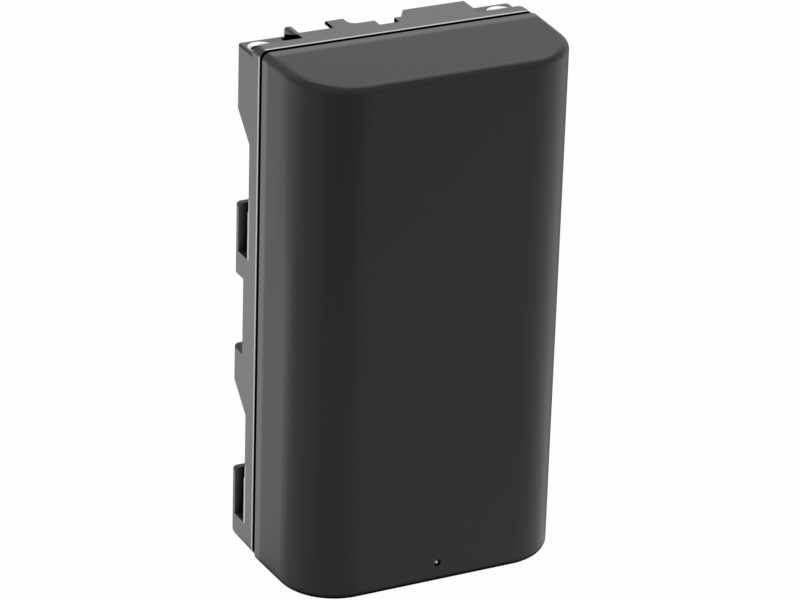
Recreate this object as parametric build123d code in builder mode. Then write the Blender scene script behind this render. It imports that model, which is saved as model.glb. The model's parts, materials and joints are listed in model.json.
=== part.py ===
from build123d import *
import os
from math import copysign, radians, sqrt, tan

# Camera battery: a slide-on pack of two cylindrical cells in a welded two-piece shell.
# Millimetres. The pack stands on its plain end, with the contact end up.
# X runs across the width, the front face looks along -Y, and Z runs up the length.

# Cells
cell_diameter = 18.0
cell_length = 65.0
cell_gap = 0.1
button_radius = 3.4
button_height = 0.9
cell_edge = 0.5
bead_depth = 0.45
bead_height = 1.6
bead_below_shoulder = 1.3

# Shell walls and clearances
front_wall = 1.1
side_wall = 0.87
end_wall = 1.2
rear_wall = 1.2
rear_space = 1.4
cell_clearance = 0.1
fit_clearance = 0.1
board_clearance = 0.2
tongue_thickness = 0.6
tongue_height = 1.2
tongue_end_gap = 4.0

# Front cover form
cover_depth = 14.5
corner_radius = 7.65
side_draft = 2.4
end_radius = 1.1

# Gate mark low on the front face
gate_diameter = 1.05
gate_depth = 0.4
gate_height = 2.95
gate_nub_diameter = 0.6
gate_nub_height = 0.3
gate_nub_taper = 20

# Rear case form, with a neck in front that leaves an open groove round the seam
upper_left_radius = 1.1
upper_right_radius = 1.6
lower_corner_radius = 1.7
rear_edge_radius = 0.3
seam_gap = 0.65
seam_depth = 0.5
seam_chamfer = 0.12

# Rails: notches that take the hooks of a mounting plate, and the slots they slide into
rail_depth = 2.0
rail_wall = 1.2
notch_depth = 3.85
shallow_notch_depth = 2.55
slot_length = 6.6
slot_step = 0.2
lip_wall = 0.85
lip_round = 0.65
upper_notch_low = 48.1
upper_notch_high = 57.3
middle_notch_low = 28.2
middle_notch_high = 38.35
lower_notch_low = 10.55
lower_notch_high = 19.6

# Contact end
flange_depth = 2.85
corner_drop = 1.3
corner_land = 0.1
corner_inset = 5.6
key_slot_width = 0.7
key_slot_floor = 3.9
key_slot_wall = 0.45
contact_recess = 2.5
contact_floor = 0.8
end_plate = 0.5
key_fin = 0.8
key_fin_round = 0.45
key_notch_width = 4.8
key_notch_depth = 2.63
key_undercut = 2.0
mid_notch_depth = 2.3
mid_notch_left = 4.9
mid_notch_right = 3.6
mid_notch_slant = 1.4
mid_notch_round = 1.2
data_slot_left = 1.5
data_slot_right = 1.25
data_slot_depth = 3.83
data_slot_length = 8.0

# Contacts
socket_bore = 2.5
socket_shell = 0.4
socket_mouth = 0.33
socket_length = 7.8
socket_outer_wall = 0.8
socket_shift = 0.35
socket_rim = 0.35
socket_slit = 0.5
socket_clearance = 0.05
socket_floor = 0.8
socket_wall = 0.65
tail_width = 1.6
tail_thickness = 0.2
tail_seat = 1.5
data_blade_width = 1.6
data_blade_length = 5.0
data_blade_sheet = 0.3

# Strips, sheets and pad
strip_thickness = 0.2
strip_width = 6.0
strip_overhang = 3.5
strip_corner = 1.0
lead_width = 3.0
lead_seat = 2.0
washer_thickness = 0.2
washer_width = 4.4
washer_clearance = 0.3
pad_thickness = 0.8
pad_margin = 0.6
sheet_thickness = 0.2
sheet_margin = 0.6

# Protection board
board_thickness = 0.8
board_margin = 0.5
part_room = 1.0
part_chamfer = 0.15
part_gap = 0.4
chip_size = (5.0, 4.4, 0.8)
chip_offset = (2.5, -1.3)
transistor_size = (6.2, 5.0, 0.8)
transistor_offset = (-3.5, -2.3)
resistor_size = (6.3, 3.1, 0.6)
resistor_offset = (-3.0, 2.5)
fuse_size = (4.5, 3.2, 0.7)
fuse_offset = (2.5, 2.9)
capacitor_size = (1.6, 0.8, 0.7)
capacitor_pitch = 1.7
capacitor_count = 3

# Overall sizes, worked out from the pieces inside
cell_radius = cell_diameter / 2
cell_x = cell_radius + cell_gap / 2
depth = front_wall + cell_clearance + cell_diameter + rear_space + rear_wall
front_y = -depth / 2
rear_y = depth / 2
seam_y = front_y + cover_depth
rim_y = seam_y + seam_gap
cell_y = front_y + front_wall + cell_clearance + cell_radius
draft_rate = tan(radians(side_draft))
cell_reach = cell_x + cell_radius + cell_clearance
half_width = cell_reach + side_wall + draft_rate * (seam_y - cell_y)
width = 2 * half_width

# Levels up the length
pad_z = end_wall
series_z = pad_z + pad_thickness
cell_z = series_z + strip_thickness
cell_top = cell_z + cell_length
strip_top = cell_top + strip_thickness
sheet_top = strip_top + sheet_thickness
board_z = sheet_top + part_room
board_top = board_z + board_thickness
length = board_top + board_clearance + end_wall

# Rear case inside
case_wall = side_wall + fit_clearance + tongue_thickness
tray_half = half_width - case_wall
rail_half = half_width - rail_depth - rail_wall
notch_floor = rear_y - notch_depth
slot_front = notch_floor + slot_step
rail_front = notch_floor - rail_wall
tray_floor = rear_y - rear_wall

# Contact end places
corner_x = half_width - corner_inset
corner_top = length - corner_drop
flange_y = seam_y + flange_depth
fin_x = corner_x - key_slot_width
key_x = fin_x - key_fin
recess_z = length - contact_recess
block_z = recess_z - contact_floor
socket_outer = socket_bore / 2 + socket_shell
socket_hole = socket_outer + socket_clearance
socket_x = half_width - socket_outer_wall - socket_hole
socket_left = -socket_x - socket_shift
socket_right = socket_x - socket_shift
socket_y = rear_y - socket_rim - socket_hole
left_corner_round = socket_outer_wall - socket_shift - corner_land
right_corner_round = socket_outer_wall + socket_shift - corner_land
socket_z = corner_top - socket_length
tail_end = seam_y - tail_seat
data_slot_floor = rear_y - data_slot_depth
data_slot_z = length - data_slot_length
data_blade_y = data_slot_floor + data_blade_sheet
data_x = (data_slot_right - data_slot_left) / 2


def block(x_span, y_span, z_span, mode=Mode.ADD):
    """A box between two places along each axis."""
    spans = (x_span, y_span, z_span)
    sizes = [high - low for low, high in spans]
    middle = [(low + high) / 2 for low, high in spans]
    with Locations(tuple(middle)):
        Box(*sizes, mode=mode)


def tub_section(side_inset, front_inset, rear):
    """The D-shaped section of the front cover, inset from its outer faces."""
    front = front_y + front_inset
    rear_half = half_width - side_inset - draft_rate * (seam_y - rear)
    front_half = half_width - side_inset - draft_rate * (seam_y - front)
    with BuildSketch() as section:
        with BuildLine():
            FilletPolyline(
                (-rear_half, rear),
                (-front_half, front),
                (front_half, front),
                (rear_half, rear),
                radius=corner_radius - max(side_inset, front_inset),
            )
            Line((rear_half, rear), (-rear_half, rear))
        make_face()
    return section.sketch


def case_outline(inset):
    """The outline of the rear case seen along its depth, inset from its outer faces."""
    with BuildSketch() as outline:
        with Locations((0, length / 2)):
            Rectangle(width - 2 * inset, length - 2 * inset)
        fillet(outline.vertices().group_by(Axis.Y)[0], lower_corner_radius - inset)
        fillet(outline.vertices().group_by(Axis.Y)[-1].sort_by(Axis.X)[0], upper_left_radius - inset)
        fillet(outline.vertices().group_by(Axis.Y)[-1].sort_by(Axis.X)[-1], upper_right_radius - inset)
    return outline.sketch


def corner_cut(*tips):
    """A cutting sketch that rounds outer corners, each given by its place and radius."""
    with BuildSketch() as cut:
        for x, top, radius in tips:
            with Locations((x, top)):
                Rectangle(2 * radius, 2 * radius)
            with Locations((x - copysign(radius, x), top - radius)):
                Circle(radius, mode=Mode.SUBTRACT)
    return cut.sketch


cover_section = tub_section(0, 0, seam_y)
cover_cavity = tub_section(side_wall, front_wall, seam_y)
pad_rear = seam_y - tongue_height - pad_margin
pad_section = tub_section(side_wall + pad_margin, front_wall + pad_margin, pad_rear)
board_section = tub_section(side_wall + board_margin, front_wall + board_margin, seam_y)

# Front cover: a drafted tub with rounded front corners
with BuildPart() as front_cover:
    with BuildSketch(Plane.XY):
        add(cover_section)
    extrude(amount=length)
    cover_ends = front_cover.faces().filter_by(Axis.Z).edges()
    fillet(cover_ends.filter_by(lambda e: e.center().Y < seam_y - end_radius / 2), end_radius)
    with BuildSketch(Plane.XY.offset(end_wall)):
        add(cover_cavity)
    extrude(amount=length - 2 * end_wall, mode=Mode.SUBTRACT)
    # Gate mark: a round dimple with the broken-off nub inside
    with BuildSketch(Plane.XZ.offset(-front_y)):
        with Locations((0, gate_height)):
            Circle(gate_diameter / 2)
    extrude(amount=-gate_depth, mode=Mode.SUBTRACT)
    with BuildSketch(Plane.XZ.offset(-front_y - gate_depth)):
        with Locations((0, gate_height)):
            Circle(gate_nub_diameter / 2)
    extrude(amount=gate_nub_height, taper=gate_nub_taper)
front_cover.part.label = "front_cover"

# Rear case: a shallow tray with rails down both sides and the contact end at the top
with BuildPart() as rear_case:
    with BuildSketch(Plane.XZ.offset(-rim_y)):
        add(case_outline(0))
    extrude(amount=rim_y - rear_y)
    fillet(rear_case.faces().sort_by(Axis.Y)[-1].edges(), rear_edge_radius)
    chamfer(rear_case.faces().sort_by(Axis.Y)[0].edges(), seam_chamfer)
    # Neck that the cover's rim is welded to
    with BuildSketch(Plane.XZ.offset(-seam_y)):
        add(case_outline(seam_depth))
    extrude(amount=seam_y - flange_y)
    inside = (end_wall, length - end_wall)
    block((-tray_half, tray_half), (seam_y, rail_front), inside, Mode.SUBTRACT)
    block((-rail_half, rail_half), (rail_front, tray_floor), inside, Mode.SUBTRACT)
    # Walls round the sockets, the recesses and the data slot at the contact end
    block((-rail_half, rail_half), (rail_front, rear_y - rear_edge_radius), (block_z, length - end_wall))
    data_walls = (-data_slot_left - rail_wall, data_slot_right + rail_wall)
    block(data_walls, (rail_front, tray_floor), (data_slot_z - rail_wall, block_z))
    with BuildSketch(Plane.XY.offset(block_z)):
        with Locations((socket_left, socket_y), (socket_right, socket_y)):
            Circle(socket_hole + socket_wall)
        Rectangle(width, depth, mode=Mode.INTERSECT)
    extrude(amount=socket_z - socket_floor - block_z)
    # Room for the cells
    with BuildSketch(Plane.XY.offset(end_wall)):
        with Locations((-cell_x, cell_y), (cell_x, cell_y)):
            Circle(cell_radius + cell_clearance)
    extrude(amount=cell_top + fit_clearance - end_wall, mode=Mode.SUBTRACT)
    # Corners stepped down behind the flange, with rounded outer edges
    behind_flange = (flange_y, rear_y)
    block((-half_width, -fin_x), behind_flange, (corner_top, length), Mode.SUBTRACT)
    block((key_x, half_width), behind_flange, (corner_top, length), Mode.SUBTRACT)
    left_corner = (-half_width, corner_top, left_corner_round)
    right_corner = (half_width, corner_top, right_corner_round)
    fin_corner = (-fin_x, length, key_fin_round)
    with BuildSketch(Plane.XZ.offset(-rear_y)):
        add(corner_cut(left_corner, right_corner, fin_corner))
    extrude(amount=rear_y - flange_y, mode=Mode.SUBTRACT)
    # Key slots beside the fin on one side and the end plate on the other
    slot_span = (rear_y - key_slot_floor, rear_y - key_slot_wall)
    block((-corner_x, -fin_x), slot_span, (recess_z, corner_top), Mode.SUBTRACT)
    block((key_x, corner_x), slot_span, (recess_z, corner_top), Mode.SUBTRACT)
    # Holes for the sockets and slits for their tails
    slit_half = tail_width / 2 + fit_clearance
    slit_level = (board_z - tail_thickness - fit_clearance, board_z + fit_clearance)
    for x in (socket_left, socket_right):
        with BuildSketch(Plane.XY.offset(corner_top)):
            with Locations((x, socket_y)):
                Circle(socket_hole)
        extrude(amount=-socket_length, mode=Mode.SUBTRACT)
        slit_span = (x - slit_half, x + slit_half)
        block(slit_span, (seam_y, socket_y), slit_level, Mode.SUBTRACT)
    # Key recess on one side, under a thin end plate that it notches
    key_rear = (rear_y - key_notch_depth, rear_y)
    block((-key_x, -key_x + key_notch_width), key_rear, (recess_z, length), Mode.SUBTRACT)
    undercut_span = (-key_x, -key_x + key_notch_width + key_undercut)
    block(undercut_span, key_rear, (recess_z, length - end_plate), Mode.SUBTRACT)
    # Middle notch, with a rounded corner, a slanted side and the data slot in its floor
    with BuildSketch(Plane.XY.offset(length)):
        notch_y = rear_y - mid_notch_depth
        with BuildLine():
            Polyline(
                (-mid_notch_left, rear_y),
                (-mid_notch_left, notch_y),
                (mid_notch_right - mid_notch_slant, notch_y),
                (mid_notch_right, rear_y),
                close=True,
            )
        notch_face = make_face()
        fillet(notch_face.vertices().group_by(Axis.Y)[0].sort_by(Axis.X)[0], mid_notch_round)
    extrude(amount=-contact_recess, mode=Mode.SUBTRACT)
    data_span = (-data_slot_left, data_slot_right)
    block(data_span, (data_slot_floor, rear_y), (data_slot_z, length), Mode.SUBTRACT)
    blade_half = data_blade_width / 2 + fit_clearance
    blade_span = (data_x - blade_half, data_x + blade_half)
    block(blade_span, (rail_front, data_slot_floor), slit_level, Mode.SUBTRACT)
    # Rails: each hook notch ends in a ramp or a step, and two of them lead down into a slot
    for side in (-1, 1):
        with BuildSketch(Plane.YZ.offset(side * half_width)):
            for low, high in ((upper_notch_low, upper_notch_high), (lower_notch_low, lower_notch_high)):
                with BuildLine():
                    Polyline(
                        (rear_y, low),
                        (rear_y, high + notch_depth),
                        (notch_floor, high),
                        (notch_floor, low),
                        (slot_front, low),
                        (slot_front, low - slot_length),
                        (rear_y - lip_wall, low - slot_length),
                        (rear_y - lip_wall, low),
                        close=True,
                    )
                make_face()
            with BuildLine():
                Polyline(
                    (rear_y, middle_notch_low),
                    (rear_y, middle_notch_high),
                    (rear_y - shallow_notch_depth, middle_notch_high),
                    (rear_y - shallow_notch_depth, middle_notch_low),
                    close=True,
                )
            make_face()
        extrude(amount=-side * rail_depth, mode=Mode.SUBTRACT)
    # Rounded outer corner on the lip below each notch
    lip_tops = (upper_notch_low, middle_notch_low, lower_notch_low)
    lip_corners = [(side * half_width, top, lip_round) for side in (-1, 1) for top in lip_tops]
    with BuildSketch(Plane.XZ.offset(-rear_y)):
        add(corner_cut(*lip_corners))
    extrude(amount=shallow_notch_depth, mode=Mode.SUBTRACT)
    # Tongues inside the rim, which line the cover up on the case
    for side in (-1, 1):
        tongue_outer = tray_half + tongue_thickness
        tongue_span = sorted((side * tray_half, side * (tongue_outer - draft_rate * tongue_height)))
        tongue_ends = (end_wall + tongue_end_gap, block_z - tongue_end_gap)
        block(tongue_span, (seam_y - tongue_height, seam_y + tongue_height), tongue_ends)
rear_case.part.label = "rear_case"


def cell(x, base, up):
    """A sealed cell: can, rolled bead, shoulder and raised positive button, up or down from its base."""
    shoulder = cell_length - button_height
    bead_top = shoulder - bead_below_shoulder
    outline = [
        (0, 0),
        (cell_radius - cell_edge, 0),
        (cell_radius, cell_edge),
        (cell_radius, bead_top - bead_height),
        (cell_radius - bead_depth, bead_top - bead_height / 2),
        (cell_radius, bead_top),
        (cell_radius, shoulder - cell_edge),
        (cell_radius - cell_edge, shoulder),
        (button_radius, shoulder),
        (button_radius, cell_length),
        (0, cell_length),
    ]
    with BuildPart() as can:
        with BuildSketch(Plane.XZ.offset(-cell_y)):
            with BuildLine():
                Polyline([(x + out, base + up * along) for out, along in outline], close=True)
            make_face()
        revolve(axis=Axis((x, cell_y, 0), (0, 0, 1)))
    return can


cell_left = cell(-cell_x, cell_z, 1)
cell_left.part.label = "cell_left"

cell_right = cell(cell_x, cell_top, -1)
cell_right.part.label = "cell_right"

# Paper rings round the positive buttons
with BuildPart() as cell_washer_left:
    with BuildSketch(Plane.XY.offset(cell_top - button_height)):
        with Locations((-cell_x, cell_y)):
            Circle(button_radius + washer_clearance + washer_width)
            Circle(button_radius + washer_clearance, mode=Mode.SUBTRACT)
    extrude(amount=washer_thickness)
cell_washer_left.part.label = "cell_washer_left"

with BuildPart() as cell_washer_right:
    with BuildSketch(Plane.XY.offset(cell_z + button_height)):
        with Locations((cell_x, cell_y)):
            Circle(button_radius + washer_clearance + washer_width)
            Circle(button_radius + washer_clearance, mode=Mode.SUBTRACT)
    extrude(amount=-washer_thickness)
cell_washer_right.part.label = "cell_washer_right"

# Strip that joins the lower ends of the two cells
with BuildPart() as series_strip:
    with BuildSketch(Plane.XY.offset(series_z)):
        with Locations((0, cell_y)):
            RectangleRounded(2 * (cell_x + strip_overhang), strip_width, strip_corner)
    extrude(amount=strip_thickness)
series_strip.part.label = "series_strip"

# Flat lead from the series strip up the groove between the cells to the board
groove_depth = sqrt((cell_radius + fit_clearance) ** 2 - (cell_x - lead_width / 2) ** 2)
lead_y = cell_y - groove_depth - fit_clearance - strip_thickness
with BuildPart() as midpoint_strip:
    with BuildSketch(Plane.YZ.offset(-lead_width / 2)):
        with BuildLine():
            Polyline(
                (cell_y - strip_width / 2, series_z),
                (lead_y, series_z),
                (lead_y, board_z),
                (lead_y + lead_seat, board_z),
                (lead_y + lead_seat, board_z - strip_thickness),
                (lead_y + strip_thickness, board_z - strip_thickness),
                (lead_y + strip_thickness, series_z + strip_thickness),
                (cell_y - strip_width / 2, series_z + strip_thickness),
                close=True,
            )
        make_face()
    extrude(amount=lead_width)
midpoint_strip.part.label = "midpoint_strip"


def end_strip(side):
    """A welded strip on a cell's upper end, with a leg up to the board."""
    inner = side * (cell_x - strip_overhang)
    outer = side * (cell_x + cell_radius - strip_overhang)
    leg = outer - side * strip_thickness
    with BuildPart() as strip:
        with BuildSketch(Plane.XZ.offset(-cell_y - strip_width / 2)):
            with BuildLine():
                Polyline(
                    (inner, cell_top),
                    (outer, cell_top),
                    (outer, board_z),
                    (leg, board_z),
                    (leg, strip_top),
                    (inner, strip_top),
                    close=True,
                )
            make_face()
        extrude(amount=strip_width)
    return strip


positive_strip = end_strip(-1)
positive_strip.part.label = "positive_strip"

negative_strip = end_strip(1)
negative_strip.part.label = "negative_strip"

# Foam pad between the lower end wall and the cells
with BuildPart() as end_pad:
    with BuildSketch(Plane.XY.offset(pad_z)):
        add(pad_section)
    extrude(amount=pad_thickness)
end_pad.part.label = "end_pad"

# Insulating sheet between the cell ends and the board parts
sheet_half = cell_x + cell_radius - strip_overhang - strip_thickness - sheet_margin
with BuildPart() as board_insulator:
    with BuildSketch(Plane.XY.offset(strip_top)):
        with Locations((0, cell_y)):
            Rectangle(2 * sheet_half, 2 * (cell_y - lead_y - strip_thickness - sheet_margin))
    extrude(amount=sheet_thickness)
board_insulator.part.label = "board_insulator"

# Protection board across the contact end, with its parts on the underside
with BuildPart() as circuit_board:
    with BuildSketch(Plane.XY.offset(board_z)):
        add(board_section)
    extrude(amount=board_thickness)
circuit_board.part.label = "circuit_board"


def over_cell(side, offset):
    """A place on the board, measured from the axis of the cell below."""
    return (side * cell_x + offset[0], cell_y + offset[1])


def board_part(size, *places):
    """A small part soldered under the board, at one place or several."""
    with BuildPart() as body:
        with Locations(*[(x, y, board_z - size[2] / 2) for x, y in places]):
            Box(*size)
        chamfer(body.faces().group_by(Axis.Z)[0].edges(), part_chamfer)
    return body


protection_chip = board_part(chip_size, over_cell(-1, chip_offset))
protection_chip.part.label = "protection_chip"

switch_transistor = board_part(transistor_size, over_cell(1, transistor_offset))
switch_transistor.part.label = "switch_transistor"

sense_resistor = board_part(resistor_size, over_cell(1, resistor_offset))
sense_resistor.part.label = "sense_resistor"

thermal_fuse = board_part(fuse_size, over_cell(-1, fuse_offset))
thermal_fuse.part.label = "thermal_fuse"

# A row of capacitors in front of the data contact's tail
capacitor_y = tail_end - part_gap - capacitor_size[1] / 2
capacitor_row = [(data_x, capacitor_y - step * capacitor_pitch) for step in range(capacitor_count)]
board_capacitors = board_part(capacitor_size, *capacitor_row)
board_capacitors.part.label = "board_capacitors"


def socket(x):
    """A turned sleeve with a countersunk mouth, slit down its front, and a solder tail to the board."""
    with BuildPart() as sleeve:
        with BuildSketch(Plane.XY.offset(socket_z)):
            with Locations((x, socket_y)):
                Circle(socket_outer)
                Circle(socket_bore / 2, mode=Mode.SUBTRACT)
        extrude(amount=socket_length)
        top_rims = sleeve.faces().sort_by(Axis.Z)[-1].edges()
        chamfer(top_rims.sort_by(SortBy.LENGTH)[0], socket_mouth)
        slit_span = (x - socket_slit / 2, x + socket_slit / 2)
        slit_y = (socket_y - socket_outer, socket_y)
        tail_level = board_z - tail_thickness
        block(slit_span, slit_y, (socket_z, tail_level - tail_thickness), Mode.SUBTRACT)
        tail_span = (x - tail_width / 2, x + tail_width / 2)
        with BuildSketch(Plane.XY.offset(tail_level)):
            with BuildLine():
                Polyline(
                    (tail_span[0], tail_end),
                    (tail_span[1], tail_end),
                    (tail_span[1], socket_y),
                    (tail_span[0], socket_y),
                    close=True,
                )
            make_face()
            with Locations((x, socket_y)):
                Circle(socket_bore / 2, mode=Mode.SUBTRACT)
        extrude(amount=tail_thickness)
    return sleeve


positive_socket = socket(socket_left)
positive_socket.part.label = "positive_socket"

negative_socket = socket(socket_right)
negative_socket.part.label = "negative_socket"

# Third contact: a blade on the floor of the data slot, with a tail to the board
with BuildPart() as data_contact:
    with BuildSketch(Plane.YZ.offset(data_x - data_blade_width / 2)):
        with BuildLine():
            Polyline(
                (tail_end, board_z - tail_thickness),
                (data_slot_floor, board_z - tail_thickness),
                (data_slot_floor, board_z - data_blade_length),
                (data_blade_y, board_z - data_blade_length),
                (data_blade_y, board_z),
                (tail_end, board_z),
                close=True,
            )
        make_face()
    extrude(amount=data_blade_width)
data_contact.part.label = "data_contact"

pieces = (
    front_cover,
    rear_case,
    cell_left,
    cell_right,
    cell_washer_left,
    cell_washer_right,
    series_strip,
    midpoint_strip,
    positive_strip,
    negative_strip,
    end_pad,
    board_insulator,
    circuit_board,
    protection_chip,
    switch_transistor,
    sense_resistor,
    thermal_fuse,
    board_capacitors,
    positive_socket,
    negative_socket,
    data_contact,
)

os.makedirs("parts", exist_ok=True)
for piece in pieces:
    export_step(piece.part, f"parts/{piece.part.label}.step")
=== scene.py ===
import json
import math

import bpy
from mathutils import Matrix, Vector


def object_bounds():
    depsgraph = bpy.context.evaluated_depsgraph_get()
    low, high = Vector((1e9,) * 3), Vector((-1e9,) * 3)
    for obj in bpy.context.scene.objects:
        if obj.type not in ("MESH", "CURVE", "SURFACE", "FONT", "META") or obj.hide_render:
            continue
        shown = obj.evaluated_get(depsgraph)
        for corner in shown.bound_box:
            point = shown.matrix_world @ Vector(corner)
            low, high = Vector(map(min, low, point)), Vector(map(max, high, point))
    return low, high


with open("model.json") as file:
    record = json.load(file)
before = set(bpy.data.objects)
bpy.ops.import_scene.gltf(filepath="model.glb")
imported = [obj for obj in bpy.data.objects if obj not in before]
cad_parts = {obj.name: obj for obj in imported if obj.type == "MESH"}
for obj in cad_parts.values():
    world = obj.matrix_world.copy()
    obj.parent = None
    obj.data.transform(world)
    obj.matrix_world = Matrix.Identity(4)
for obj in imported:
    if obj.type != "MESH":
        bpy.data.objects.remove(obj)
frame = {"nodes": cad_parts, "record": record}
cad_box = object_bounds()
nodes = frame["nodes"]
MM = 0.001

# Outer faces of the part, its half height, and the rear end of its front cover
LEFT, FRONT = cad_box[0][:2]
RIGHT, REAR, TOP = cad_box[1]
MIDDLE_Z = TOP / 2
SEAM_Y = max(vertex.co.y for vertex in nodes["front_cover"].data.vertices)

# Camera, fitted to the outline in the photograph
IMAGE_WIDTH = 800
FOCAL_PIXELS = 4168
SENSOR_WIDTH = 36
CAMERA_AZIMUTH = math.radians(-26.83)
CAMERA_ELEVATION = math.radians(24.81)
CAMERA_ROLL = math.radians(1.80)
CAMERA_DISTANCE = 531.6 * MM
CLIP_START = 10 * MM
AIM_RIGHT = -0.91 * MM
AIM_UP = 0.14 * MM

# Level directions from the part: to the camera, and to the right as the camera sees it
TO_CAMERA = (math.sin(CAMERA_AZIMUTH), -math.cos(CAMERA_AZIMUTH), 0)
TO_RIGHT = (math.cos(CAMERA_AZIMUTH), math.sin(CAMERA_AZIMUTH), 0)

# How soft the ends of a painted band are, and how far and finely pockets are looked for
SOFT_STEP = 0.05 * MM
POCKET_REACH = 5 * MM
OPEN_SAMPLES = 8

# Which way a face looks, by the parts of its normal
SIDE_FACING = (0.8, 0.9)
UP_FACING = (0.3, 0.6)
SLANT_FACING = (0.15, 0.35)

# Moulded texture: broad clouds in the colour, and a fine grain in the roughness and the surface
CLOUD_SCALE = 90
CLOUD_SWING = 0.06
GRAIN_SCALE = 5200
GRAIN_SWING = 0.06
GRAIN_BUMP = 0.2
GRAIN_DEPTH = 0.02 * MM

# Front cover: a dark body that mostly mirrors its surround
COVER_LEVEL = 0.003
COVER_TINT = (0.97, 1.0, 1.01)
COVER_SHEEN = (0.94, 1.0, 1.03)
COVER_ROUGHNESS = 0.3
COVER_GLOSS = 0.5

# Its paler rim, which fades out between two distances from the rear end
RIM_LEVEL = 0.105
RIM_FADE = (1.75 * MM, 1.05 * MM)

# Its large front corners, by their radius, with painted shade by a duller gloss where they start, on
# the upper half
COVER_CORNER = 7.65 * MM
CORNER_SHADE_GLOSS = 0.22
CORNER_Y = FRONT + COVER_CORNER - 0.15 * MM
CORNER_REACH = 2.4 * MM
CORNER_Z = (38 * MM, 58 * MM)

# A painted highlight on the nub in its gate mark, low on the front face
NUB_HIGHLIGHT_LEVEL = 0.5
NUB_HIGHLIGHT_PLACE = (-0.1 * MM, FRONT + 0.2 * MM, 3.07 * MM)
NUB_HIGHLIGHT_RADII = (0.25 * MM, 0.35 * MM)

# Rear case: mid-grey, with painted light that is palest at half height
CASE_LEVEL = 0.165
CASE_PAINTED_LIGHT_LEVEL = 0.217
CASE_PAINTED_LIGHT_AT_FOOT = 0.1
CASE_TINT = (1.0, 1.0, 0.99)
CASE_ROUGHNESS = 0.45
CASE_GLOSS = 0.4

# Its painted highlight along the edge behind the groove at the seam, and the groove, painted black as
# shade
EDGE_HIGHLIGHT_LEVEL = 0.7
EDGE_Y = SEAM_Y + 0.78 * MM
EDGE_BAND = 0.35 * MM
GROOVE_Y = (SEAM_Y - 2 * MM, EDGE_Y)

# A pale strip of painted highlight in front of each slot: its place along the depth, and the heights
# of the two slots
SLOT_FRONT_Y = REAR - 3.65 * MM
SLOT_STRIP = 0.45 * MM
STRIP_HEIGHTS = ((3.95 * MM, 12.3 * MM), (41.5 * MM, 49.9 * MM))

# The case's shaded parts: rounded edges, faces that look up below the contact end, and pockets
SHADED_LEVEL = 0.03
LIP_LIMIT = TOP - 2 * MM
LIP_FADE = MM
POCKET_LEVEL = 0.032
POCKET_OPEN = (0.4, 0.65)

# The case's black painted shade. The first is on the foot of the fin at the contact end: its reach,
# and the slanted line that ends it, by its slope and how far it lies below the end at the rear.
BLACK_SHADE_LEVEL = 0.001
FIN_X = (LEFT + 6.25 * MM, LEFT + 6.8 * MM)
FIN_Y = (REAR - 4.4 * MM, REAR)
FIN_Z = (TOP - 1.4 * MM, TOP + MM)
FOOT_SLOPE = 0.32
FOOT_DROP = 1.038 * MM
FOOT_LINE = TOP - FOOT_DROP + FOOT_SLOPE * REAR

# Also black painted shade: walls between the fin and the far socket, and the inner part of the slots
WALL_X = (FIN_X[1] + MM, RIGHT - 6 * MM)
WALL_Z = (TOP - 1.0 * MM, TOP - 0.5 * MM)
SLOT_DEEP = (RIGHT - 1.3 * MM, RIGHT - 0.3 * MM)

# Plated metal: drawing lines in its colour, roughness and surface, and painted shade in its bores
LINE_SCALE = 1500
LINE_LEVELS = (0.92, 1.0)
LINE_SMOOTHER = 0.05
LINE_ROUGHER = 0.08
LINE_BUMP = 0.1
LINE_DEPTH = 0.01 * MM
BORE_SHADE_LEVEL = 0.01
BORE_OPEN = (0.4, 0.6)

# Plain stock: the grain in its colour, roughness and surface
STOCK_LEVELS = (0.85, 1.0)
STOCK_SWING = 0.05
STOCK_BUMP = 0.3

# Light from the white surround, and the floor's paint and size
SURROUND_LEVEL = 0.88
FLOOR_LEVELS = (0.86, 0.90)
FLOOR_CLOUD_SCALE = 40
FLOOR_WHITENESS = 0.97
FLOOR_HALF = 1200 * MM

# The floor's glow as the gloss mirrors it, with painted shade. Bearings go from 1 toward the camera
# to -1 away from it, seen from the middle of the left corner or from the edge that the right corner
# shows to the camera.
LEFT_AXIS = (LEFT + COVER_CORNER, FRONT + COVER_CORNER, 0)
RIGHT_EDGE = (
    RIGHT - COVER_CORNER * (1 - TO_RIGHT[0]),
    FRONT + COVER_CORNER * (1 + TO_RIGHT[1]),
    0,
)

# Painted shade in front of the part, from further back on its far right, and again far in front
AHEAD_LEVEL = 0.72
AHEAD_BEARING = (-0.45, 0.08)
RIGHT_SHIFT = -0.35
RIGHT_REACH = (45 * MM, 95 * MM)
FAR_REACH = (95 * MM, 170 * MM)

# Painted shade straight toward the camera, and dark painted shade straight behind the part and where
# it stands
FACING_LEVEL = 0.8
FACING_BEARING = (0.7, 0.97)
BEHIND_LEVEL = 0.15
BEHIND_BEARING = (-0.98, -0.66)
CONTACT_REACH = 2 * MM
CONTACT_OPEN = (0.5, 0.9)

# Lamps: place, point looked at and size in metres, and power in watts. The first only lights
# the part, and the second is only mirrored in its gloss.
TOP_BOX = ((-0.10, 0.05, 0.65), (0, 0, 0.05), (0.5, 0.5), 0.54)
MIRROR_BOX = ((0.24, 0.15, 0.65), (0.24, 0.15, 0), (0.72, 0.78), 2.4)


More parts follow.
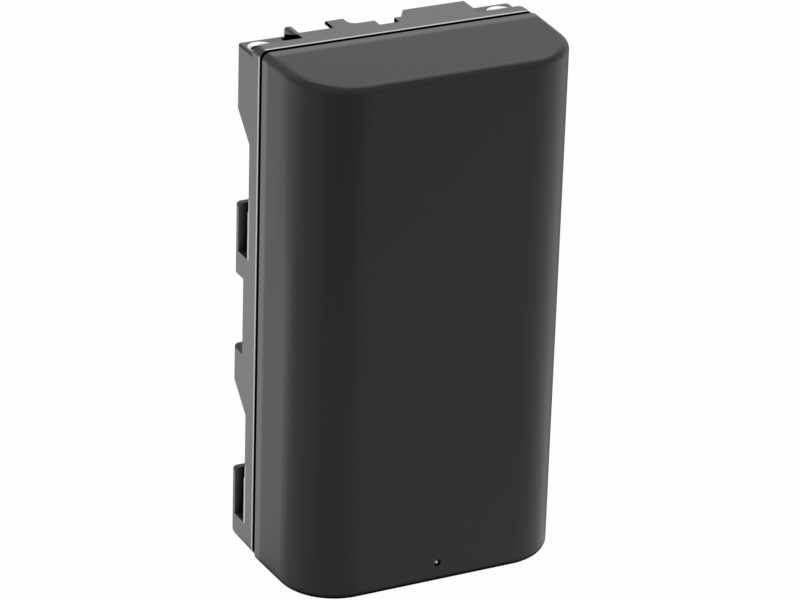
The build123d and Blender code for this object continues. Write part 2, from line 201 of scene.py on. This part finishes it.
class Shader:
    """The emptied node tree of a material or world, with short calls to add and join nodes."""

    def __init__(self, owner):
        owner.use_nodes = True
        self.tree = owner.node_tree
        self.tree.nodes.clear()

    def add(self, kind, **settings):
        node = self.tree.nodes.new(kind)
        for key, value in settings.items():
            setattr(node, key, value)
        return node

    def join(self, source, target):
        self.tree.links.new(source, target)

    def finish(self, surface, kind="ShaderNodeOutputMaterial"):
        self.join(surface, self.add(kind).inputs["Surface"])

    def principled(self, **values):
        node = self.add("ShaderNodeBsdfPrincipled")
        for key, value in values.items():
            node.inputs[key.replace("_", " ")].default_value = value
        self.finish(node.outputs["BSDF"])
        return node

    def place(self):
        return self.add("ShaderNodeTexCoord").outputs["Object"]

    def facing(self):
        return self.add("ShaderNodeTexCoord").outputs["Normal"]

    def axes(self, vector):
        """The three parts of a vector."""
        split = self.add("ShaderNodeSeparateXYZ")
        self.join(vector, split.inputs[0])
        return split.outputs

    def vectors(self, operation, first, second=(0, 0, 0)):
        """A vector taken together with a fixed one."""
        node = self.add("ShaderNodeVectorMath", operation=operation)
        self.join(first, node.inputs[0])
        node.inputs[1].default_value = second
        return node.outputs

    def distance(self, point):
        """How far it is from a point."""
        return self.vectors("DISTANCE", self.place(), point)["Value"]

    def along(self, direction):
        """How far it is from the origin in a direction."""
        return self.vectors("DOT_PRODUCT", self.place(), direction)["Value"]

    def bearing(self, point, direction):
        """One where the way from a point goes in a direction, and -1 where it goes against it."""
        away = self.vectors("SUBTRACT", self.place(), point)["Vector"]
        unit = self.vectors("NORMALIZE", away)["Vector"]
        return self.vectors("DOT_PRODUCT", unit, direction)["Value"]

    def noise(self, scale, detail=2.0):
        node = self.add("ShaderNodeTexNoise")
        node.inputs["Scale"].default_value = scale
        node.inputs["Detail"].default_value = detail
        self.join(self.place(), node.inputs["Vector"])
        return node.outputs["Fac"]

    def maths(self, operation, first, *others):
        """Values taken together, one after another."""
        for other in others:
            node = self.add("ShaderNodeMath", operation=operation)
            for socket, value in zip(node.inputs, (first, other)):
                if isinstance(value, (int, float)):
                    socket.default_value = value
                else:
                    self.join(value, socket)
            first = node.outputs[0]
        return first

    def unsigned(self, value):
        """A value without its sign."""
        return self.maths("ABSOLUTE", value, 0)

    def span(self, factor, low, high, start=0.0, end=1.0):
        """From one value to another while a factor goes from its start to its end."""
        node = self.add("ShaderNodeMapRange")
        for key, value in (("From Min", start), ("From Max", end), ("To Min", low), ("To Max", high)):
            node.inputs[key].default_value = value
        self.join(factor, node.inputs["Value"])
        return node.outputs["Result"]

    def band(self, value, start, end):
        """One between two places, and nought outside them."""
        rise = self.span(value, 0, 1, start - SOFT_STEP, start + SOFT_STEP)
        fall = self.span(value, 1, 0, end - SOFT_STEP, end + SOFT_STEP)
        return self.maths("MULTIPLY", rise, fall)

    def mix(self, factor, first, second):
        """A colour between two, which are colours or sockets."""
        node = self.add("ShaderNodeMix", data_type="RGBA")
        self.join(factor, node.inputs["Factor"])
        for socket, value in zip((s for s in node.inputs if s.type == "RGBA"), (first, second)):
            if isinstance(value, tuple):
                socket.default_value = value
            else:
                self.join(value, socket)
        return next(s for s in node.outputs if s.type == "RGBA")

    def bump(self, height, strength, distance):
        node = self.add("ShaderNodeBump")
        node.inputs["Strength"].default_value = strength
        node.inputs["Distance"].default_value = distance
        self.join(height, node.inputs["Height"])
        return node.outputs["Normal"]

    def rounded(self):
        """One on edges rounded between a side and the upper end, and nought on flat faces."""
        normal = self.axes(self.facing())
        slant = self.maths("MULTIPLY", self.unsigned(normal["X"]), normal["Z"])
        return self.span(slant, 0, 1, *SLANT_FACING)

    def sideways(self):
        """One on faces that look to a side, and nought on the rest."""
        return self.span(self.unsigned(self.axes(self.facing())["X"]), 0, 1, *SIDE_FACING)

    def upward(self):
        """One on faces that look up, and nought on the rest."""
        return self.span(self.axes(self.facing())["Z"], 0, 1, *UP_FACING)

    def openness(self, reach, shut, clear, only_local=True):
        """One in the open, and nought in a pocket or a slot, or close to another object."""
        node = self.add("ShaderNodeAmbientOcclusion", samples=OPEN_SAMPLES, only_local=only_local)
        node.inputs["Distance"].default_value = reach
        return self.span(node.outputs["AO"], 0, 1, shut, clear)

    def ray(self, kind):
        """One for rays of a kind, and nought for the rest."""
        return self.add("ShaderNodeLightPath").outputs[f"Is {kind} Ray"]


def colour(level, tint=(1.0, 1.0, 1.0)):
    """A colour of one level, with a slight tint."""
    return tuple(level * part for part in tint) + (1.0,)


def moulded_plastic(name, level, tint, roughness, gloss):
    """Plastic with a fine spark-eroded texture, and the shader, body and colour to build on."""
    material = bpy.data.materials.new(name)
    shader = Shader(material)
    body = shader.principled(IOR=1.5)
    # The gloss is varied through a link later. The export drops such a link, so the plain one stays.
    body.inputs["Specular IOR Level"].default_value = gloss
    cloud = shader.noise(CLOUD_SCALE, detail=3)
    dim, bright = level * (1 - CLOUD_SWING), level * (1 + CLOUD_SWING)
    base = shader.mix(cloud, colour(dim, tint), colour(bright, tint))
    grain = shader.noise(GRAIN_SCALE)
    rough = shader.span(grain, roughness - GRAIN_SWING, roughness + GRAIN_SWING)
    shader.join(rough, body.inputs["Roughness"])
    shader.join(shader.bump(grain, GRAIN_BUMP, GRAIN_DEPTH), body.inputs["Normal"])
    return material, shader, body, base


def cover_plastic():
    """Charcoal plastic, paler along the rim, painted shade at the corners, a painted highlight on the
    gate nub.
    """
    tint = COVER_TINT
    material, shader, body, base = moulded_plastic(
        "cover_plastic", COVER_LEVEL, tint, COVER_ROUGHNESS, COVER_GLOSS
    )
    body.inputs["Specular Tint"].default_value = colour(1.0, COVER_SHEEN)
    depth, height = shader.axes(shader.place())[1:]
    # Painted shade where the corners start, on the upper half, by a lower gloss
    rise = shader.span(depth, 0, 1, CORNER_Y - CORNER_REACH, CORNER_Y)
    fall = shader.span(depth, 1, 0, CORNER_Y, CORNER_Y + CORNER_REACH)
    upper = shader.span(height, 0, 1, *CORNER_Z)
    corner = shader.maths("MULTIPLY", rise, fall, upper, shader.sideways())
    shader.join(shader.span(corner, COVER_GLOSS, CORNER_SHADE_GLOSS), body.inputs["Specular IOR Level"])
    far, near = RIM_FADE
    rim = shader.span(depth, 0, 1, SEAM_Y - far, SEAM_Y - near)
    flat_rim = shader.maths("MULTIPLY", rim, shader.span(shader.rounded(), 1, 0))
    rimmed = shader.mix(flat_rim, base, colour(RIM_LEVEL, tint))
    # A painted highlight on the gate nub
    nub_highlight = shader.span(shader.distance(NUB_HIGHLIGHT_PLACE), 1, 0, *NUB_HIGHLIGHT_RADII)
    shader.join(shader.mix(nub_highlight, rimmed, colour(NUB_HIGHLIGHT_LEVEL)), body.inputs["Base Color"])
    return material


def case_plastic():
    """Mid-grey plastic with painted light and highlights, shaded pockets, and black painted shade in
    gaps and slots.
    """
    tint = CASE_TINT
    material, shader, body, base = moulded_plastic(
        "case_plastic", CASE_LEVEL, tint, CASE_ROUGHNESS, CASE_GLOSS
    )
    across, depth, height = shader.axes(shader.place())
    # Painted light: palest at half height, and darker toward the top and the foot
    upper = shader.span(height, 1, 0, MIDDLE_Z, TOP)
    lower = shader.span(height, CASE_PAINTED_LIGHT_AT_FOOT, 1, 0, MIDDLE_Z)
    middle = shader.maths("MULTIPLY", upper, lower)
    painted_light = shader.mix(middle, base, colour(CASE_PAINTED_LIGHT_LEVEL, tint))
    # Painted highlights along the edge behind the seam and in a strip in front of each slot
    edge_highlight = shader.band(depth, EDGE_Y, EDGE_Y + EDGE_BAND)
    strip = shader.band(depth, SLOT_FRONT_Y - SLOT_STRIP, SLOT_FRONT_Y)
    side_strip = shader.maths("MULTIPLY", strip, shader.sideways())
    for low, high in STRIP_HEIGHTS:
        strip_part = shader.maths("MULTIPLY", side_strip, shader.band(height, low, high))
        edge_highlight = shader.maths("MAXIMUM", edge_highlight, strip_part)
    highlighted = shader.mix(edge_highlight, painted_light, colour(EDGE_HIGHLIGHT_LEVEL, tint))
    under_end = shader.span(height, 1, 0, LIP_LIMIT, LIP_LIMIT + LIP_FADE)
    lip = shader.maths("MULTIPLY", shader.upward(), under_end)
    shade = shader.maths("MAXIMUM", shader.rounded(), lip)
    shaded = shader.mix(shade, highlighted, colour(SHADED_LEVEL, tint))
    open_part = shader.openness(POCKET_REACH, *POCKET_OPEN)
    pocketed = shader.mix(open_part, colour(POCKET_LEVEL, tint), shaded)
    # Black painted shade, without gloss: the fin's foot, walls near the contact end, deep slots, the
    # seam groove
    foot_shade = shader.span(shader.along((0, FOOT_SLOPE, 1)), 1, 0, FOOT_LINE, FOOT_LINE + 2 * SOFT_STEP)
    for value, reach in ((across, FIN_X), (depth, FIN_Y), (height, FIN_Z)):
        foot_shade = shader.maths("MULTIPLY", foot_shade, shader.band(value, *reach))
    near_end = shader.span(height, 0, 1, *WALL_Z)
    wall_shade = shader.maths("MULTIPLY", shader.sideways(), near_end, shader.band(across, *WALL_X))
    inner = shader.span(shader.unsigned(across), 1, 0, *SLOT_DEEP)
    deep_shade = shader.maths("MULTIPLY", inner, shader.span(open_part, 1, 0))
    black_shade = shader.maths("MAXIMUM", shader.band(depth, *GROOVE_Y), foot_shade, wall_shade, deep_shade)
    shader.join(shader.mix(black_shade, pocketed, colour(BLACK_SHADE_LEVEL, tint)), body.inputs["Base Color"])
    shader.join(shader.span(black_shade, CASE_GLOSS, 0), body.inputs["Specular IOR Level"])
    return material


def plated_metal(name, tone, roughness):
    """Bright plated sheet with faint drawing lines, and painted shade in its bores."""
    material = bpy.data.materials.new(name)
    shader = Shader(material)
    body = shader.principled(Metallic=1.0)
    lines = shader.noise(LINE_SCALE, detail=4)
    dim, full = LINE_LEVELS
    bright = shader.mix(lines, colour(dim, tone), colour(full, tone))
    # Painted shade in the bores
    open_part = shader.openness(POCKET_REACH, *BORE_OPEN)
    shader.join(shader.mix(open_part, colour(BORE_SHADE_LEVEL), bright), body.inputs["Base Color"])
    rough = shader.span(lines, roughness - LINE_SMOOTHER, roughness + LINE_ROUGHER)
    shader.join(rough, body.inputs["Roughness"])
    shader.join(shader.bump(lines, LINE_BUMP, LINE_DEPTH), body.inputs["Normal"])
    return material


def plain_stock(name, tone, roughness, grain_scale, grain_depth):
    """Paper, foam, laminate and package bodies: a colour with a grain of its own scale."""
    material = bpy.data.materials.new(name)
    shader = Shader(material)
    body = shader.principled()
    grain = shader.noise(grain_scale, detail=4)
    dim, full = STOCK_LEVELS
    shader.join(shader.mix(grain, colour(dim, tone), colour(full, tone)), body.inputs["Base Color"])
    rough = shader.span(grain, roughness - STOCK_SWING, roughness + STOCK_SWING)
    shader.join(rough, body.inputs["Roughness"])
    shader.join(shader.bump(grain, STOCK_BUMP, grain_depth), body.inputs["Normal"])
    return material


# Finishes by material slot. Metal has a tone and a roughness, and stock has a grain as well.
finishes = {
    "cover_plastic": cover_plastic(),
    "case_plastic": case_plastic(),
    "contact_metal": plated_metal("contact_metal", (0.97, 0.96, 0.93), 0.55),
    "nickel_strip": plated_metal("nickel_strip", (0.66, 0.65, 0.62), 0.32),
    "cell_wrap": plain_stock("cell_wrap", (0.05, 0.22, 0.42), 0.3, 400, 0.01 * MM),
    "insulating_paper": plain_stock("insulating_paper", (0.62, 0.58, 0.48), 0.8, 3000, 0.02 * MM),
    "foam": plain_stock("foam", (0.06, 0.06, 0.06), 0.9, 2200, 0.08 * MM),
    "board_laminate": plain_stock("board_laminate", (0.03, 0.18, 0.07), 0.35, 1800, 0.01 * MM),
    "chip_plastic": plain_stock("chip_plastic", (0.02, 0.02, 0.02), 0.5, 6000, 0.01 * MM),
    "fuse_plastic": plain_stock("fuse_plastic", (0.55, 0.42, 0.12), 0.5, 4000, 0.01 * MM),
    "ceramic": plain_stock("ceramic", (0.48, 0.36, 0.24), 0.45, 5000, 0.01 * MM),
}

for row in frame["record"]["subparts"]:
    mesh = nodes[row["node"]].data
    mesh.materials.clear()
    mesh.materials.append(finishes[row["material_slot"]])


def camera():
    """The photograph's camera, from its fitted angles."""
    reach = math.cos(CAMERA_ELEVATION)
    back = Vector((TO_CAMERA[0] * reach, TO_CAMERA[1] * reach, math.sin(CAMERA_ELEVATION)))
    level = Vector((0, 0, 1)).cross(back).normalized()
    upright = back.cross(level)
    right = math.cos(CAMERA_ROLL) * level + math.sin(CAMERA_ROLL) * upright
    up = -math.sin(CAMERA_ROLL) * level + math.cos(CAMERA_ROLL) * upright
    middle = Vector((0, 0, MIDDLE_Z))
    place = middle + right * AIM_RIGHT + up * AIM_UP + back * CAMERA_DISTANCE
    data = bpy.data.cameras.new("camera")
    data.sensor_width = SENSOR_WIDTH
    data.lens = FOCAL_PIXELS / IMAGE_WIDTH * SENSOR_WIDTH
    data.clip_start = CLIP_START
    lens = bpy.data.objects.new("camera", data)
    lens.matrix_world = Matrix.Translation(place) @ Matrix((right, up, back)).transposed().to_4x4()
    bpy.context.scene.collection.objects.link(lens)
    bpy.context.scene.camera = lens


def soft_box(name, place, aim, size, power):
    """A rectangular area lamp that looks at a point."""
    data = bpy.data.lights.new(name, "AREA")
    data.shape = "RECTANGLE"
    data.size, data.size_y = size
    data.energy = power
    lamp = bpy.data.objects.new(name, data)
    lamp.location = place
    lamp.rotation_euler = (Vector(aim) - Vector(place)).to_track_quat("-Z", "Y").to_euler()
    bpy.context.scene.collection.objects.link(lamp)
    return lamp


def mirrored_level(shader):
    """How bright the floor's glow looks in the part's gloss, with painted shade from place to place.
    """
    bearing = shader.bearing(LEFT_AXIS, TO_CAMERA)
    shift = shader.span(shader.along(TO_RIGHT), 0, RIGHT_SHIFT, *RIGHT_REACH)
    ahead = shader.span(shader.maths("ADD", bearing, shift), 1, AHEAD_LEVEL, *AHEAD_BEARING)
    far = shader.span(shader.along(TO_CAMERA), 1, AHEAD_LEVEL, *FAR_REACH)
    facing = shader.span(bearing, 1, FACING_LEVEL, *FACING_BEARING)
    behind = shader.span(shader.bearing(RIGHT_EDGE, TO_CAMERA), BEHIND_LEVEL, 1, *BEHIND_BEARING)
    # Painted shade where the part stands
    contact = shader.openness(CONTACT_REACH, *CONTACT_OPEN, only_local=False)
    return shader.maths("MULTIPLY", ahead, far, facing, behind, contact)


def white_floor():
    """A pale floor that the camera sees as white, with a light shadow."""
    material = bpy.data.materials.new("floor")
    shader = Shader(material)
    paint = shader.add("ShaderNodeBsdfDiffuse")
    dim, full = FLOOR_LEVELS
    cloud = shader.noise(FLOOR_CLOUD_SCALE)
    shader.join(shader.mix(cloud, colour(dim), colour(full)), paint.inputs["Color"])
    glow = shader.add("ShaderNodeEmission")
    strength = shader.maths("MAXIMUM", mirrored_level(shader), shader.ray("Camera"))
    shader.join(strength, glow.inputs["Strength"])
    blend = shader.add("ShaderNodeMixShader")
    seen = shader.maths("MAXIMUM", shader.ray("Camera"), shader.ray("Glossy"))
    shader.join(shader.maths("MULTIPLY", seen, FLOOR_WHITENESS), blend.inputs["Fac"])
    shader.join(paint.outputs[0], blend.inputs[1])
    shader.join(glow.outputs[0], blend.inputs[2])
    shader.finish(blend.outputs[0])
    mesh = bpy.data.meshes.new("floor")
    half = FLOOR_HALF
    corners = [(-half, -half, 0), (half, -half, 0), (half, half, 0), (-half, half, 0)]
    mesh.from_pydata(corners, [], [(0, 1, 2, 3)])
    mesh.materials.append(material)
    floor = bpy.data.objects.new("floor", mesh)
    bpy.context.scene.collection.objects.link(floor)


def white_world(level):
    """White where it is seen, and an even light from all round elsewhere."""
    world = bpy.data.worlds.new("studio")
    bpy.context.scene.world = world
    shader = Shader(world)
    light = shader.add("ShaderNodeBackground")
    shader.join(shader.span(shader.ray("Camera"), level, 1.0), light.inputs["Strength"])
    shader.finish(light.outputs[0], "ShaderNodeOutputWorld")


camera()
white_floor()
white_world(SURROUND_LEVEL)
soft_box("top_box", *TOP_BOX).visible_glossy = False
soft_box("mirror_box", *MIRROR_BOX).visible_diffuse = False

bpy.context.scene.view_settings.view_transform = "Standard"
